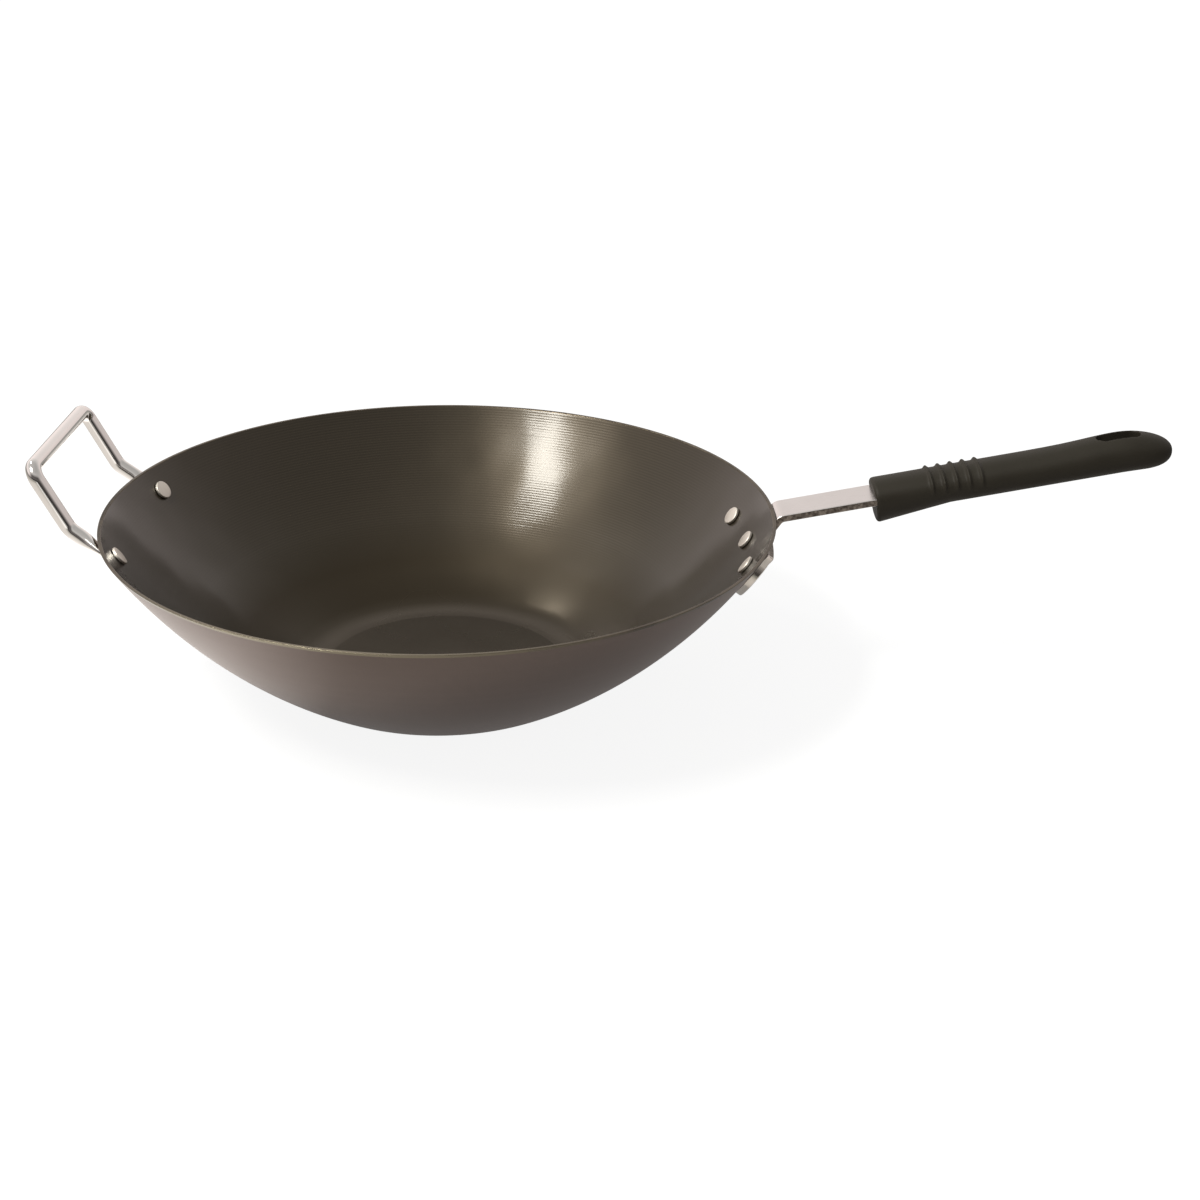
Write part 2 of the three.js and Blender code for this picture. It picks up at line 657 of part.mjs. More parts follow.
const grip = mesh('handle_grip', handleGrip(), gripBlack);
grip.position.x = STRAP_LENGTH;
const screw = mesh('grip_screw', gripScrew(), rivetSteel);
screw.position.x = STRAP_LENGTH + SCREW_SETBACK;
handle.add(grip, screw);
wok.add(handle);

export default wok;
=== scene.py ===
import math

import bmesh
import bpy
from mathutils import Matrix, Vector

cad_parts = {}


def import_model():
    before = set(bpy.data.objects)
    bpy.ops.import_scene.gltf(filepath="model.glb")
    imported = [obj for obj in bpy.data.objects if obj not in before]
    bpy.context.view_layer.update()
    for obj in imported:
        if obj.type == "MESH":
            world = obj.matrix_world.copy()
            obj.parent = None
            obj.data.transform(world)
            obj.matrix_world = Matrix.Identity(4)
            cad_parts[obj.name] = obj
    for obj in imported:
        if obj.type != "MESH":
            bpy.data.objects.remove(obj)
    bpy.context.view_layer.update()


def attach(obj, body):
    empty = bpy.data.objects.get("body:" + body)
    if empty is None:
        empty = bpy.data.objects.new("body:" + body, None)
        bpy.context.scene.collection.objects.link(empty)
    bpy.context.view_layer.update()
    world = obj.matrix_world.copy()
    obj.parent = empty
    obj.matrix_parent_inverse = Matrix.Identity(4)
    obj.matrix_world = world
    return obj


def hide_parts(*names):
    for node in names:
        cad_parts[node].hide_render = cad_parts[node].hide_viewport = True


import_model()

# Sizes in metres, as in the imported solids.
# Bowl
RIM_RADIUS = 0.1778
DEPTH = 0.09525
BASE_RADIUS = 0.0669
BASE_FILLET = 0.0395
WALL_ARC = 0.2763
WALL = 0.0016
RIM_EDGE = 0.0004
CLEARANCE = 0.0003

# Rivets
RIVET_SHANK = 0.006
RIVET_HEAD = 0.0104
RIVET_HEAD_HEIGHT = 0.0013
RIVET_HEAD_EDGE = 0.0006
RIVET_HEAD_CROWN = 0.00035
RIVET_HEAD_GAP = 0.00055
RIVET_DOME = 0.0084
RIVET_DOME_HEIGHT = 0.0015

# Long handle
BAR_THICKNESS = 0.0038
BAR_EDGE = 0.0005
HANDLE_RIVETS = 3
HANDLE_RIVET_PITCH = 0.0356
HANDLE_RIVET_DROP = 0.0225
FOOT_END = 0.026
FOOT_HEIGHT = 0.026
NECK_RISE = 0.0229
NECK_FILLET = 0.003
BEND_RADIUS = 0.0026
HANDLE_RISE = math.radians(10.8)
STRAP_WIDTH = 0.0228
STRAP_LENGTH = 0.0513
TANG_SHOULDER = 0.014
TANG_WIDTH = 0.014

# Grip
GRIP_LENGTH = 0.1601
GRIP_CHEEK = 0.0014
GRIP_TOP = 0.0089
GRIP_BOTTOM = 0.0098
GRIP_SQUARENESS = 2.2
FRONT_CORNER = 0.0018
FRONT_EDGE = 0.0018
FLARE_LENGTH = 0.04
FLARE_DROP = 0.005
CREST_HEIGHT = 0.002
NOSE_TOP = 0.03
NOSE_SIDE = 0.024
NOSE_BOTTOM = 0.017
NOSE_BLUNTNESS = 2.4
NOSE_DIP = 0.0018
RIB_COUNT = 5
RIB_PITCH = 0.0066
RIB_SETBACK = 0.0304
RIB_WIDTH = 0.003
RIB_HEIGHT = 0.0016
HANG_HOLE_LENGTH = 0.0234
HANG_HOLE_WIDTH = 0.01
HANG_HOLE_SETBACK = 0.0275
TANG_END_WALL = 0.022
GRIP_VOXEL = 0.0005

# Screw under the grip
SCREW_SETBACK = 0.06
SCREW_SHANK = 0.004
SCREW_HEAD = 0.0076
SCREW_HEAD_HEIGHT = 0.0024
SCREW_RECESS = 0.001
SCREW_SLOT_WIDTH = 0.0011
SCREW_SLOT_DEPTH = 0.0012

# Helper loop
HELPER_AZIMUTH = math.radians(177.4)
HELPER_SPAN = 0.0965
HELPER_RIVET_DROP = 0.0147
HELPER_LEAN = 0.004
ROD = 0.008
TAB_THICKNESS = 0.003
TAB_WIDTH = 0.013
TAB_MARGIN = 0.0008
TAB_BEND = 0.003
KNEE_OUT = 0.0229
KNEE_RISE = 0.0142
BAR_OUT = 0.0165
BAR_RISE = 0.0319
KNEE_BEND = 0.005
CORNER_BEND = 0.0025
TAB_TIP = 0.55
TAB_TIP_SWELL = 0.9
TAB_FLAT_SHARE = 0.2
TAB_SQUARENESS = 3.2
ROD_SQUARENESS = 2

# Mesh density and smoothing
BOWL_STEPS = 288
RIVET_STEPS = 48
ROD_STEPS = 40
GRIP_STEPS = 96
ARC_STEPS = 16
NOSE_STEPS = 60
CROWN_STEPS = 10
RIVET_EDGE_STEPS = 6
SCREW_EDGE_STEPS = 5
FILLET_STEPS = 8
EDGE_STEPS = 4
TAB_STEPS = 4
RAMP_STEPS = 6
GRID = 0.003
BEND_GRID = 0.0006
WELD = 1e-6
FOOT_ROUNDS = 6
GRIP_EASE = 0.5
GRIP_EASE_ROUNDS = 6
RIVET_CREASE = math.radians(50)
SCREW_CREASE = math.radians(40)

# Zones of the inner coat, as radii or as lengths past the flat disc, and its relief
DISC_STEP = 0.0005
CORNER_BAND = 0.006
CORNER_BAND_END = 0.014
CORNER_END = 0.0885
WALL_START = 0.101
LOW_WALL = 0.1
LOW_WALL_END = 0.15
RINGS_FROM = 0.108
RINGS_FULL = 0.13
RING_PITCH = 0.00164
RING_DEPTH = 0.0000105
SWAY_DEPTH = 0.00045
GRAIN_DEPTH = 0.00002
NOISE_LOW = 0.3
NOISE_HIGH = 0.7

# Colours of the inner coat, of the floor and of the light
COAT_DARK = (0.006, 0.004, 0.0012)
COAT_LIGHT = (0.01, 0.007, 0.0028)
COAT_GRAIN = (0.008, 0.006, 0.003)
COAT_LOW_WALL = (0.018, 0.0138, 0.0085)
COAT_DISC = (0.035, 0.0285, 0.022)
# painted highlight in a band just past the disc's edge
COAT_PAINTED_CORNER_HIGHLIGHT = (0.054, 0.0445, 0.036)
# painted light on the crests of the turned rings
COAT_PAINTED_RING_LIGHT = (0.025, 0.0195, 0.012)
FLOOR_NEAR = (0.52, 0.485, 0.46)
FLOOR_FAR = (0.12, 0.105, 0.07)
FLOOR_SEEN = (0.22, 0.22, 0.22)
LAMP_COLOUR = (1.0, 0.985, 0.925)
STUDIO_LOW_TINT = (1.0, 0.9, 0.87)
STUDIO_TINT = (1.0, 0.98, 0.95)
WHITE = (1.0, 1.0, 1.0)

# Camera, floor and light
CAMERA_PLACE = (0.0480, -0.8878, 0.4431)
CAMERA_TARGET = (0.08510, -0.00357, 0.04381)
CAMERA_ROLL = math.radians(1.1076)
CAMERA_LENS = 53.49
CAMERA_SENSOR = 36
CAMERA_REACH = 100
FLOOR_REACH = 30
FLOOR_DROP = 0.0002
FLOOR_GLOW_SEEN = 0.89
FLOOR_GLOW_MIRRORED = 0.25
FLOOR_GLOW_BY_LOOP = 0.65
LAMP_DISTANCE = 2.0
WORLD_FILL = 0.3

# Material numbers on the bowl and on the bracket
COAT_INSIDE, COAT_OUTSIDE, BARE_RIM = range(3)
FLAT_SIDE, CUT_EDGE, FOOT_EDGE = range(3)


# Small helpers

def lerp(a, b, share):
    return a + (b - a) * share


def clamp(value, low, high):
    return min(max(value, low), high)


def smooth(value, low, high):
    share = clamp((value - low) / (high - low), 0, 1)
    return share * share * (3 - 2 * share)


def spread(low, high, steps):
    """Even steps between two values, with both ends."""
    return [lerp(low, high, k / steps) for k in range(steps + 1)]


def shown(name, data):
    made = bpy.data.objects.new(name, data)
    bpy.context.scene.collection.objects.link(made)
    return made


def smooth_piece(name, work):
    """An object from a bmesh, which is freed."""
    mesh = bpy.data.meshes.new(name)
    work.to_mesh(mesh)
    work.free()
    mesh.shade_smooth()
    return shown(name, mesh)


def piece(name, verts, faces):
    work = bmesh.new()
    corners = [work.verts.new(vert) for vert in verts]
    for face in faces:
        work.faces.new([corners[number] for number in face])
    work.normal_update()
    bmesh.ops.recalc_face_normals(work, faces=work.faces)
    return smooth_piece(name, work)


def bake(made):
    """The piece's modifiers, applied to its mesh."""
    result = made.evaluated_get(bpy.context.evaluated_depsgraph_get())
    mesh = bpy.data.meshes.new_from_object(result)
    made.modifiers.clear()
    made.data = mesh
    return made


def cut(made, cutters):
    for cutter in cutters:
        step = made.modifiers.new("cut", 'BOOLEAN')
        step.operation = 'DIFFERENCE'
        step.solver = 'EXACT'
        step.object = cutter
    bake(made)
    for cutter in cutters:
        bpy.data.objects.remove(cutter)
    return made


def weigh_normals(made):
    step = made.modifiers.new("normals", 'WEIGHTED_NORMAL')
    step.keep_sharp = True
    return bake(made)


def joined(rings):
    """Faces between closed rings of vertex numbers. A ring of one vertex is a pole."""
    faces = []
    count = max(len(ring) for ring in rings)
    for lower, upper in zip(rings, rings[1:]):
        for k in range(count):
            after = (k + 1) % count
            corners = [
                lower[k % len(lower)], lower[after % len(lower)],
                upper[after % len(upper)], upper[k % len(upper)],
            ]
            faces.append(list(dict.fromkeys(corners)))
    return faces


def lathe(name, profile, steps, place):
    """A body turned about a place's Z axis, from points of radius and height. The ends lie on the axis."""
    verts = []
    rings = []
    for radius, height in profile:
        count = steps if radius > 0 else 1
        rings.append(list(range(len(verts), len(verts) + count)))
        for k in range(count):
            turn = 2 * math.pi * k / steps
            verts.append(place @ Vector((radius * math.cos(turn), radius * math.sin(turn), height)))
    return piece(name, verts, joined(rings))


def loft(name, rings, front, back):
    """A skin over rings of points, closed at a point at each end."""
    count = len(rings[0])
    verts = [front] + [corner for ring in rings for corner in ring] + [back]
    numbers = [[0]]
    for k in range(len(rings)):
        numbers.append(list(range(1 + k * count, 1 + (k + 1) * count)))
    numbers.append([len(verts) - 1])
    return piece(name, verts, joined(numbers))


def rounded(before, corner, after, size, steps):
    """A corner of a profile, rounded off over a length of each side."""
    start = corner + (before - corner).normalized() * size
    end = corner + (after - corner).normalized() * size
    points = []
    for share in spread(0, 1, steps):
        points.append(start.lerp(corner, share).lerp(corner.lerp(end, share), share))
    return points


# Bowl wall

def wall_arc_centre():
    fillet = Vector((BASE_RADIUS, BASE_FILLET))
    chord = Vector((RIM_RADIUS, DEPTH)) - fillet
    reach = WALL_ARC - BASE_FILLET
    span = chord.length
    along = (reach ** 2 - WALL_ARC ** 2 + span ** 2) / (2 * span)
    across = math.sqrt(reach ** 2 - along ** 2)
    side = Vector((-chord.y, chord.x))
    return fillet + chord * (along / span) + side * (across / span)


ARC_CENTRE = wall_arc_centre()
FILLET_ANGLE = math.atan2(BASE_RADIUS - ARC_CENTRE.x, ARC_CENTRE.y - BASE_FILLET)


def rim_angle(offset):
    return math.acos((ARC_CENTRE.y - DEPTH) / (WALL_ARC + offset))


RIM_ANGLE = rim_angle(0)


def wall_point(angle, offset):
    radius = WALL_ARC + offset
    return Vector((ARC_CENTRE.x + radius * math.sin(angle), ARC_CENTRE.y - radius * math.cos(angle)))


def wall_angle(drop):
    return RIM_ANGLE - drop / WALL_ARC


def wall_frame(azimuth, angle):
    """A frame on the outer wall: Z along the outward normal, Y up the wall, X round the bowl."""
    radius, height = wall_point(angle, 0)
    outward = Vector((math.cos(azimuth), math.sin(azimuth), 0))
    normal = outward * math.sin(angle) - Vector((0, 0, math.cos(angle)))
    up = outward * math.cos(angle) + Vector((0, 0, math.sin(angle)))
    place = outward * radius + Vector((0, 0, height))
    made = Matrix((up.cross(normal), up, normal)).transposed().to_4x4()
    made.translation = place
    return made


def shell_profile(offset):
    points = []
    radius = BASE_FILLET + offset
    for angle in spread(0, FILLET_ANGLE, ARC_STEPS)[:-1]:
        points.append(Vector((
            BASE_RADIUS + radius * math.sin(angle), BASE_FILLET - radius * math.cos(angle))))
    for angle in spread(FILLET_ANGLE, rim_angle(offset), 4 * ARC_STEPS):
        points.append(wall_point(angle, offset))
    return points


def wok_bowl():
    outside = shell_profile(0)
    inside = shell_profile(-WALL)[::-1]
    flat = [share * BASE_RADIUS for share in spread(0, 1, ARC_STEPS)[:-1]]
    under = [Vector((radius, 0)) for radius in flat] + outside[:-1]
    outer_edge = rounded(outside[-2], outside[-1], inside[0], RIM_EDGE, EDGE_STEPS)
    inner_edge = rounded(outside[-1], inside[0], inside[1], RIM_EDGE, EDGE_STEPS)
    over = inside[1:] + [Vector((radius, WALL)) for radius in reversed(flat)]
    made = lathe("bowl", under + outer_edge + inner_edge + over, BOWL_STEPS, Matrix())
    first_rim = len(under) - 1
    first_over = len(under) + len(outer_edge) + len(inner_edge) - 1
    for face in made.data.polygons:
        ring = face.index // BOWL_STEPS
        if ring >= first_over:
            face.material_index = COAT_INSIDE
        else:
            face.material_index = COAT_OUTSIDE if ring < first_rim else BARE_RIM
    return made


# Rivets

def rivet(name, plate, place):
    inside = -WALL - RIVET_HEAD_GAP
    outside = 2 * CLEARANCE + plate
    face = inside - RIVET_HEAD_HEIGHT
    rim = RIVET_HEAD / 2
    crown = face - RIVET_HEAD_CROWN
    shank = RIVET_SHANK / 2
    edge = rounded(
        Vector((0, crown)), Vector((rim, face)), Vector((rim, inside)), RIVET_HEAD_EDGE, RIVET_EDGE_STEPS)
    profile = []
    for share in spread(0, 1, CROWN_STEPS)[:-1]:
        profile.append(Vector((share * edge[0].x, lerp(crown, edge[0].y, share ** 2))))
    profile += edge
    profile += [Vector((rim, inside)), Vector((shank, inside)), Vector((shank, outside))]
    for turn in spread(0, math.pi / 2, ARC_STEPS)[:-1]:
        profile.append(Vector((
            RIVET_DOME / 2 * math.cos(turn), outside + RIVET_DOME_HEIGHT * math.sin(turn))))
    profile.append(Vector((0, outside + RIVET_DOME_HEIGHT)))
    made = lathe(name, profile, RIVET_STEPS, place)
    made.data.set_sharp_from_angle(angle=RIVET_CREASE)
    return made


handle_rivet_angle = wall_angle(HANDLE_RIVET_DROP)
handle_rivet_turn = HANDLE_RIVET_PITCH / wall_point(handle_rivet_angle, 0).x
handle_rivet_frames = []
for number in range(HANDLE_RIVETS):
    turn = (number - (HANDLE_RIVETS - 1) / 2) * handle_rivet_turn
    handle_rivet_frames.append(wall_frame(turn, handle_rivet_angle))


# Long handle

bar_middle = CLEARANCE + BAR_THICKNESS / 2
bend = BEND_RADIUS + BAR_THICKNESS / 2
neck_angle = handle_rivet_angle + NECK_RISE / WALL_ARC
neck_top = wall_point(neck_angle, bar_middle)
tangent = bend * math.tan((neck_angle - HANDLE_RISE) / 2)
bend_angle = neck_angle - tangent / WALL_ARC
bend_start = NECK_RISE - tangent
bend_end = bend_start + bend * (bend_angle - HANDLE_RISE)
tang_length = GRIP_LENGTH - HANG_HOLE_SETBACK - HANG_HOLE_LENGTH / 2 - TANG_END_WALL
strap_along = Vector((math.cos(HANDLE_RISE), math.sin(HANDLE_RISE)))
strap_square = Vector((-strap_along.y, strap_along.x))
bend_hub = neck_top + strap_along * tangent - strap_square * bend

handle_place = Matrix.Translation((neck_top.x, 0, neck_top.y)) @ Matrix.Rotation(-HANDLE_RISE, 4, 'Y')
grip_place = handle_place @ Matrix.Translation((STRAP_LENGTH, 0, 0))


def bar_point(across, along, height):
    """A place on the bent bar, from its place on the flat blank. Height is towards the bowl, then up."""
    if along < bend_start:
        slope = handle_rivet_angle + along / WALL_ARC
        middle = wall_point(slope, bar_middle)
    elif along < bend_end:
        slope = bend_angle - (along - bend_start) / bend
        middle = bend_hub + Vector((-math.sin(slope), math.cos(slope))) * bend
    else:
        slope = HANDLE_RISE
        middle = neck_top + strap_along * (along - bend_end + tangent)
    return Vector((middle.x - height * math.sin(slope), across, middle.y + height * math.cos(slope)))


def foot_point(across, along, height, place):
    """The same on the foot plate, which follows the outer wall all round."""
    offset = bar_middle - height
    reach = offset
    for _ in range(FOOT_ROUNDS):
        made = place @ Vector((across, along, reach))
        span = Vector((math.hypot(made.x, made.y), made.z)) - ARC_CENTRE
        reach += WALL_ARC + offset - span.length
    return place @ Vector((across, along, reach))


def quarter(centre, radius, start, steps):
    points = []
    for turn in spread(start, start + math.pi / 2, steps):
        points.append(centre + Vector((math.cos(turn), math.sin(turn))) * radius)
    return points


def blank_outline():
    """The flat blank's outline, one side and then the other. X is across the bar, Y is along it."""
    end = (HANDLE_RIVETS - 1) * HANDLE_RIVET_PITCH / 2 + FOOT_END - FOOT_HEIGHT / 2
    half = STRAP_WIDTH / 2
    tang = TANG_WIDTH / 2
    foot = FOOT_HEIGHT / 2
    to_strap = bend_end - tangent + STRAP_LENGTH
    shoulder = to_strap + TANG_SHOULDER
    tip = to_strap + tang_length
    nick = BAR_EDGE * 3
    side = quarter(Vector((end, 0)), foot, -math.pi / 2, ARC_STEPS)
    side += quarter(Vector((end, 0)), foot, 0, ARC_STEPS)[1:]
    neck = Vector((half + NECK_FILLET, foot + NECK_FILLET))
    side += quarter(neck, NECK_FILLET, math.pi, FILLET_STEPS)[::-1]
    side += quarter(Vector((half - nick, shoulder - nick)), nick, 0, EDGE_STEPS)
    side += quarter(Vector((tang + nick, shoulder + nick)), nick, math.pi, EDGE_STEPS)[::-1]
    side += quarter(Vector((tang - nick, tip - nick)), nick, 0, EDGE_STEPS)
    return side + [Vector((-point.x, point.y)) for point in reversed(side)]


def drawn_in(outline, inset):
    """An outline with every side moved inwards."""
    points = []
    for k, corner in enumerate(outline):
        back = (corner - outline[k - 1]).normalized()
        ahead = (outline[(k + 1) % len(outline)] - corner).normalized()
        normals = Vector((-back.y, back.x)) + Vector((-ahead.y, ahead.x))
        normals.normalize()
        points.append(corner + normals * (inset / normals.dot(Vector((-ahead.y, ahead.x)))))
    return points


def flat_blank(outline):
    """The blank with rounded edges, as a bmesh."""
    half = BAR_THICKNESS / 2
    levels = []
    for turn in spread(0, math.pi / 2, EDGE_STEPS):
        levels.append((BAR_EDGE * (1 - math.sin(turn)), half - BAR_EDGE * (1 - math.cos(turn))))
    levels += [(inset, -height) for inset, height in reversed(levels)]
    work = bmesh.new()
    rings = []
    for inset, height in levels:
        rings.append([work.verts.new((*point, height)) for point in drawn_in(outline, inset)])
    for lower, upper in zip(rings, rings[1:]):
        for k in range(len(outline)):
            after = (k + 1) % len(outline)
            work.faces.new((lower[k], lower[after], upper[after], upper[k]))
    caps = [work.faces.new(rings[0]), work.faces.new(rings[-1])]
    work.normal_update()
    bmesh.ops.triangulate(work, faces=caps)
    return work


def sliced(work, outline):
    """Cuts across and along the blank, close together at the bend, so that it can bend smoothly."""
    width = max(point.x for point in outline)
    low = min(point.y for point in outline)
    high = max(point.y for point in outline)
    planes = [((x, 0, 0), (1, 0, 0)) for x in spread(-width, width, round(2 * width / GRID))]
    cuts = spread(low, high, round((high - low) / GRID))
    cuts += spread(bend_start, bend_end, round((bend_end - bend_start) / BEND_GRID))
    planes += [((0, y, 0), (0, 1, 0)) for y in cuts]
    for place, normal in planes:
        everything = work.verts[:] + work.edges[:] + work.faces[:]
        bmesh.ops.bisect_plane(work, geom=everything, dist=WELD, plane_co=place, plane_no=normal)
    bmesh.ops.remove_doubles(work, verts=work.verts, dist=WELD)
    bmesh.ops.recalc_face_normals(work, faces=work.faces)


def handle_bracket():
    outline = blank_outline()
    work = flat_blank(outline)
    sliced(work, outline)
    for face in work.faces:
        on_foot = face.calc_center_median().y < FOOT_HEIGHT / 2
        if abs(face.normal.z) > 0.5:
            face.material_index = FLAT_SIDE
        else:
            face.material_index = FOOT_EDGE if on_foot else CUT_EDGE
    seat = wall_frame(0, handle_rivet_angle)
    for corner in work.verts:
        across, along, height = corner.co
        flat = bar_point(across, along, height)
        share = smooth(along, FOOT_HEIGHT / 2 - NECK_FILLET, bend_start)
        curved = foot_point(across, along, height, seat) if share < 1 else flat
        corner.co = curved.lerp(flat, share)
    if work.calc_volume(signed=True) < 0:
        bmesh.ops.reverse_faces(work, faces=work.faces)
    return weigh_normals(smooth_piece("bracket", work))


# Grip, in a frame whose X runs along the tang's middle from the grip's front face

grip_half = STRAP_WIDTH / 2 + GRIP_CHEEK


def nose_share(past, length):
    share = clamp(past / length, 0, 1)
    return (1 - share ** NOSE_BLUNTNESS) ** (1 / NOSE_BLUNTNESS)


def front_inset(station, radius):
    return radius - radius * math.sqrt(1 - max(0, 1 - station / radius) ** 2)


def rib_proud(station, height):
    from_first = station - RIB_SETBACK
    index = clamp(round(from_first / RIB_PITCH), 0, RIB_COUNT - 1)
    offset = abs(from_first - index * RIB_PITCH) / (RIB_WIDTH / 2)
    profile = math.cos(offset * math.pi / 2) ** 2 if offset < 1 else 0
    return RIB_HEIGHT * profile * smooth(height, -GRIP_BOTTOM / 4, GRIP_TOP / 2)


def nose_dip(to_tip):
    return NOSE_DIP * max(0, 1 - to_tip / NOSE_TOP) ** 2


def grip_ring(station):
    to_tip = GRIP_LENGTH - station
    edge = front_inset(station, FRONT_EDGE)
    crest = CREST_HEIGHT * math.exp(-(((to_tip - HANG_HOLE_SETBACK) / HANG_HOLE_LENGTH) ** 2))
    flare = FLARE_DROP * max(0, 1 - station / FLARE_LENGTH)
    side = (grip_half - front_inset(station, FRONT_CORNER)) * nose_share(NOSE_SIDE - to_tip, NOSE_SIDE)
    top = (GRIP_TOP + crest - edge) * nose_share(NOSE_TOP - to_tip, NOSE_TOP)
    bottom = (GRIP_BOTTOM + flare - edge) * nose_share(NOSE_BOTTOM - to_tip, NOSE_BOTTOM)
    power = 2 / GRIP_SQUARENESS
    ring = []
    for k in range(GRIP_STEPS):
        across = math.cos(2 * math.pi * k / GRIP_STEPS)
        up = math.sin(2 * math.pi * k / GRIP_STEPS)
        y = side * math.copysign(abs(across) ** power, across)
        z = (top if up > 0 else bottom) * math.copysign(abs(up) ** power, up)
        proud = rib_proud(station, z)
        height = z + proud * up - nose_dip(to_tip)
        ring.append(grip_place @ Vector((station, y + proud * across, height)))
    return ring


def grip_stations():
    stations = [FRONT_EDGE * (1 - math.cos(turn)) for turn in spread(0, math.pi / 2, FILLET_STEPS)]
    nose = GRIP_LENGTH - NOSE_TOP
    stations += spread(FRONT_EDGE, nose, round((nose - FRONT_EDGE) / GRIP_VOXEL))[1:]
    stations += [nose + NOSE_TOP * math.sin(turn) for turn in spread(0, math.pi / 2, NOSE_STEPS)[1:-1]]
    return stations


def slab(name, outline, low, high, place):
    """A flat outline in a place's XY plane, extruded along its Z."""
    count = len(outline)
    verts = [place @ Vector((*point, height)) for height in (low, high) for point in outline]
    ends = [list(range(count)), list(range(count, 2 * count))]
    return piece(name, verts, joined(ends) + ends)


def peg(name, diameter, low, high, place):
    radius = diameter / 2
    profile = [Vector((0, low)), Vector((radius, low)), Vector((radius, high)), Vector((0, high))]
    return lathe(name, profile, RIVET_STEPS, place)


def half_turn(centre, radius, start):
    first = quarter(centre, radius, start, ARC_STEPS)
    return first + quarter(centre, radius, start + math.pi / 2, ARC_STEPS)[1:]


screw_seat = -GRIP_BOTTOM + SCREW_RECESS + SCREW_HEAD_HEIGHT + CLEARANCE
screw_place = grip_place @ Matrix.Translation((SCREW_SETBACK, 0, 0))


def handle_grip():
    tip = grip_place @ Vector((GRIP_LENGTH, 0, -nose_dip(0)))
    rings = [grip_ring(station) for station in grip_stations()]
    made = loft("grip", rings, grip_place.translation, tip)
    wide = STRAP_WIDTH / 2 + CLEARANCE
    narrow = TANG_WIDTH / 2 + CLEARANCE
    shoulder = TANG_SHOULDER + CLEARANCE
    end = tang_length + CLEARANCE
    corners = [(-FRONT_CORNER, wide), (shoulder, wide), (shoulder, narrow), (end, narrow)]
    corners += [(x, -y) for x, y in reversed(corners)]
    half = BAR_THICKNESS / 2 + CLEARANCE
    slot = slab("slot", corners, -half, half, grip_place)
    straight = (HANG_HOLE_LENGTH - HANG_HOLE_WIDTH) / 2
    ends = half_turn(Vector((straight, 0)), HANG_HOLE_WIDTH / 2, -math.pi / 2)
    ends += half_turn(Vector((-straight, 0)), HANG_HOLE_WIDTH / 2, math.pi / 2)
    hang_place = grip_place @ Matrix.Translation((GRIP_LENGTH - HANG_HOLE_SETBACK, 0, 0))
    hang = slab("hang", ends, -2 * grip_half, 2 * grip_half, hang_place)
    below = -GRIP_BOTTOM - FLARE_DROP
    head = peg("head", SCREW_HEAD + 2 * CLEARANCE, below, screw_seat, screw_place)
    shank = peg("shank", SCREW_SHANK + 2 * CLEARANCE, below, 0, screw_place)
    cut(made, [slot, hang, head, shank])
    moulded = made.modifiers.new("moulded", 'REMESH')
    moulded.mode = 'VOXEL'
    moulded.voxel_size = GRIP_VOXEL
    moulded.use_smooth_shade = True
    eased = made.modifiers.new("eased", 'SMOOTH')
    eased.factor = GRIP_EASE
    eased.iterations = GRIP_EASE_ROUNDS
    return bake(made)


def grip_screw():
    under = screw_seat - CLEARANCE
    face = under - SCREW_HEAD_HEIGHT
    rim = SCREW_HEAD / 2
    edge = rounded(
        Vector((0, face)), Vector((rim, face)), Vector((rim, under)), RIVET_HEAD_EDGE, SCREW_EDGE_STEPS)
    profile = [Vector((0, face)), *edge, Vector((rim, under)), Vector((SCREW_SHANK / 2, under))]
    profile += [Vector((SCREW_SHANK / 2, BAR_THICKNESS / 2)), Vector((0, BAR_THICKNESS / 2))]
    made = lathe("screw", profile, RIVET_STEPS, screw_place)
    wide = SCREW_SLOT_WIDTH / 2
    reach = 1.5 * rim  # past the head on both sides
    corners = [(-reach, -wide), (reach, -wide), (reach, wide), (-reach, wide)]
    slot = slab("slot", corners, face - SCREW_SLOT_DEPTH, face + SCREW_SLOT_DEPTH, screw_place)
    cut(made, [slot])
    made.data.shade_smooth()
    made.data.set_sharp_from_angle(angle=SCREW_CREASE)
    return made


# Helper loop

helper_out = Vector((math.cos(HELPER_AZIMUTH), math.sin(HELPER_AZIMUTH), 0))
helper_across = Vector((-helper_out.y, helper_out.x, 0))
helper_rivet_angle = wall_angle(HELPER_RIVET_DROP)
helper_rivet_turn = math.asin(HELPER_SPAN / 2 / wall_point(helper_rivet_angle, 0).x)
helper_rivet_frames = [
    wall_frame(HELPER_AZIMUTH + side * helper_rivet_turn, helper_rivet_angle) for side in (-1, 1)]


def corner_arc(before, corner, after, radius):
    """Points of the arc that rounds a corner in space."""
    back = (before - corner).normalized()
    ahead = (after - corner).normalized()
    half = back.angle(ahead) / 2
    hub = corner + (back + ahead).normalized() * (radius / math.sin(half))
    spoke = corner + back * (radius / math.tan(half)) - hub
    axis = ahead.cross(back).normalized()
    turns = spread(0, math.pi - 2 * half, ARC_STEPS)
    return [hub + Matrix.Rotation(turn, 3, axis) @ spoke for turn in turns]


def helper_knee(seat):
    return seat + helper_out * KNEE_OUT + Vector((0, 0, KNEE_RISE)) - helper_across * HELPER_LEAN


def helper_corner(seat):
    return helper_knee(seat) + helper_out * BAR_OUT + Vector((0, 0, BAR_RISE))


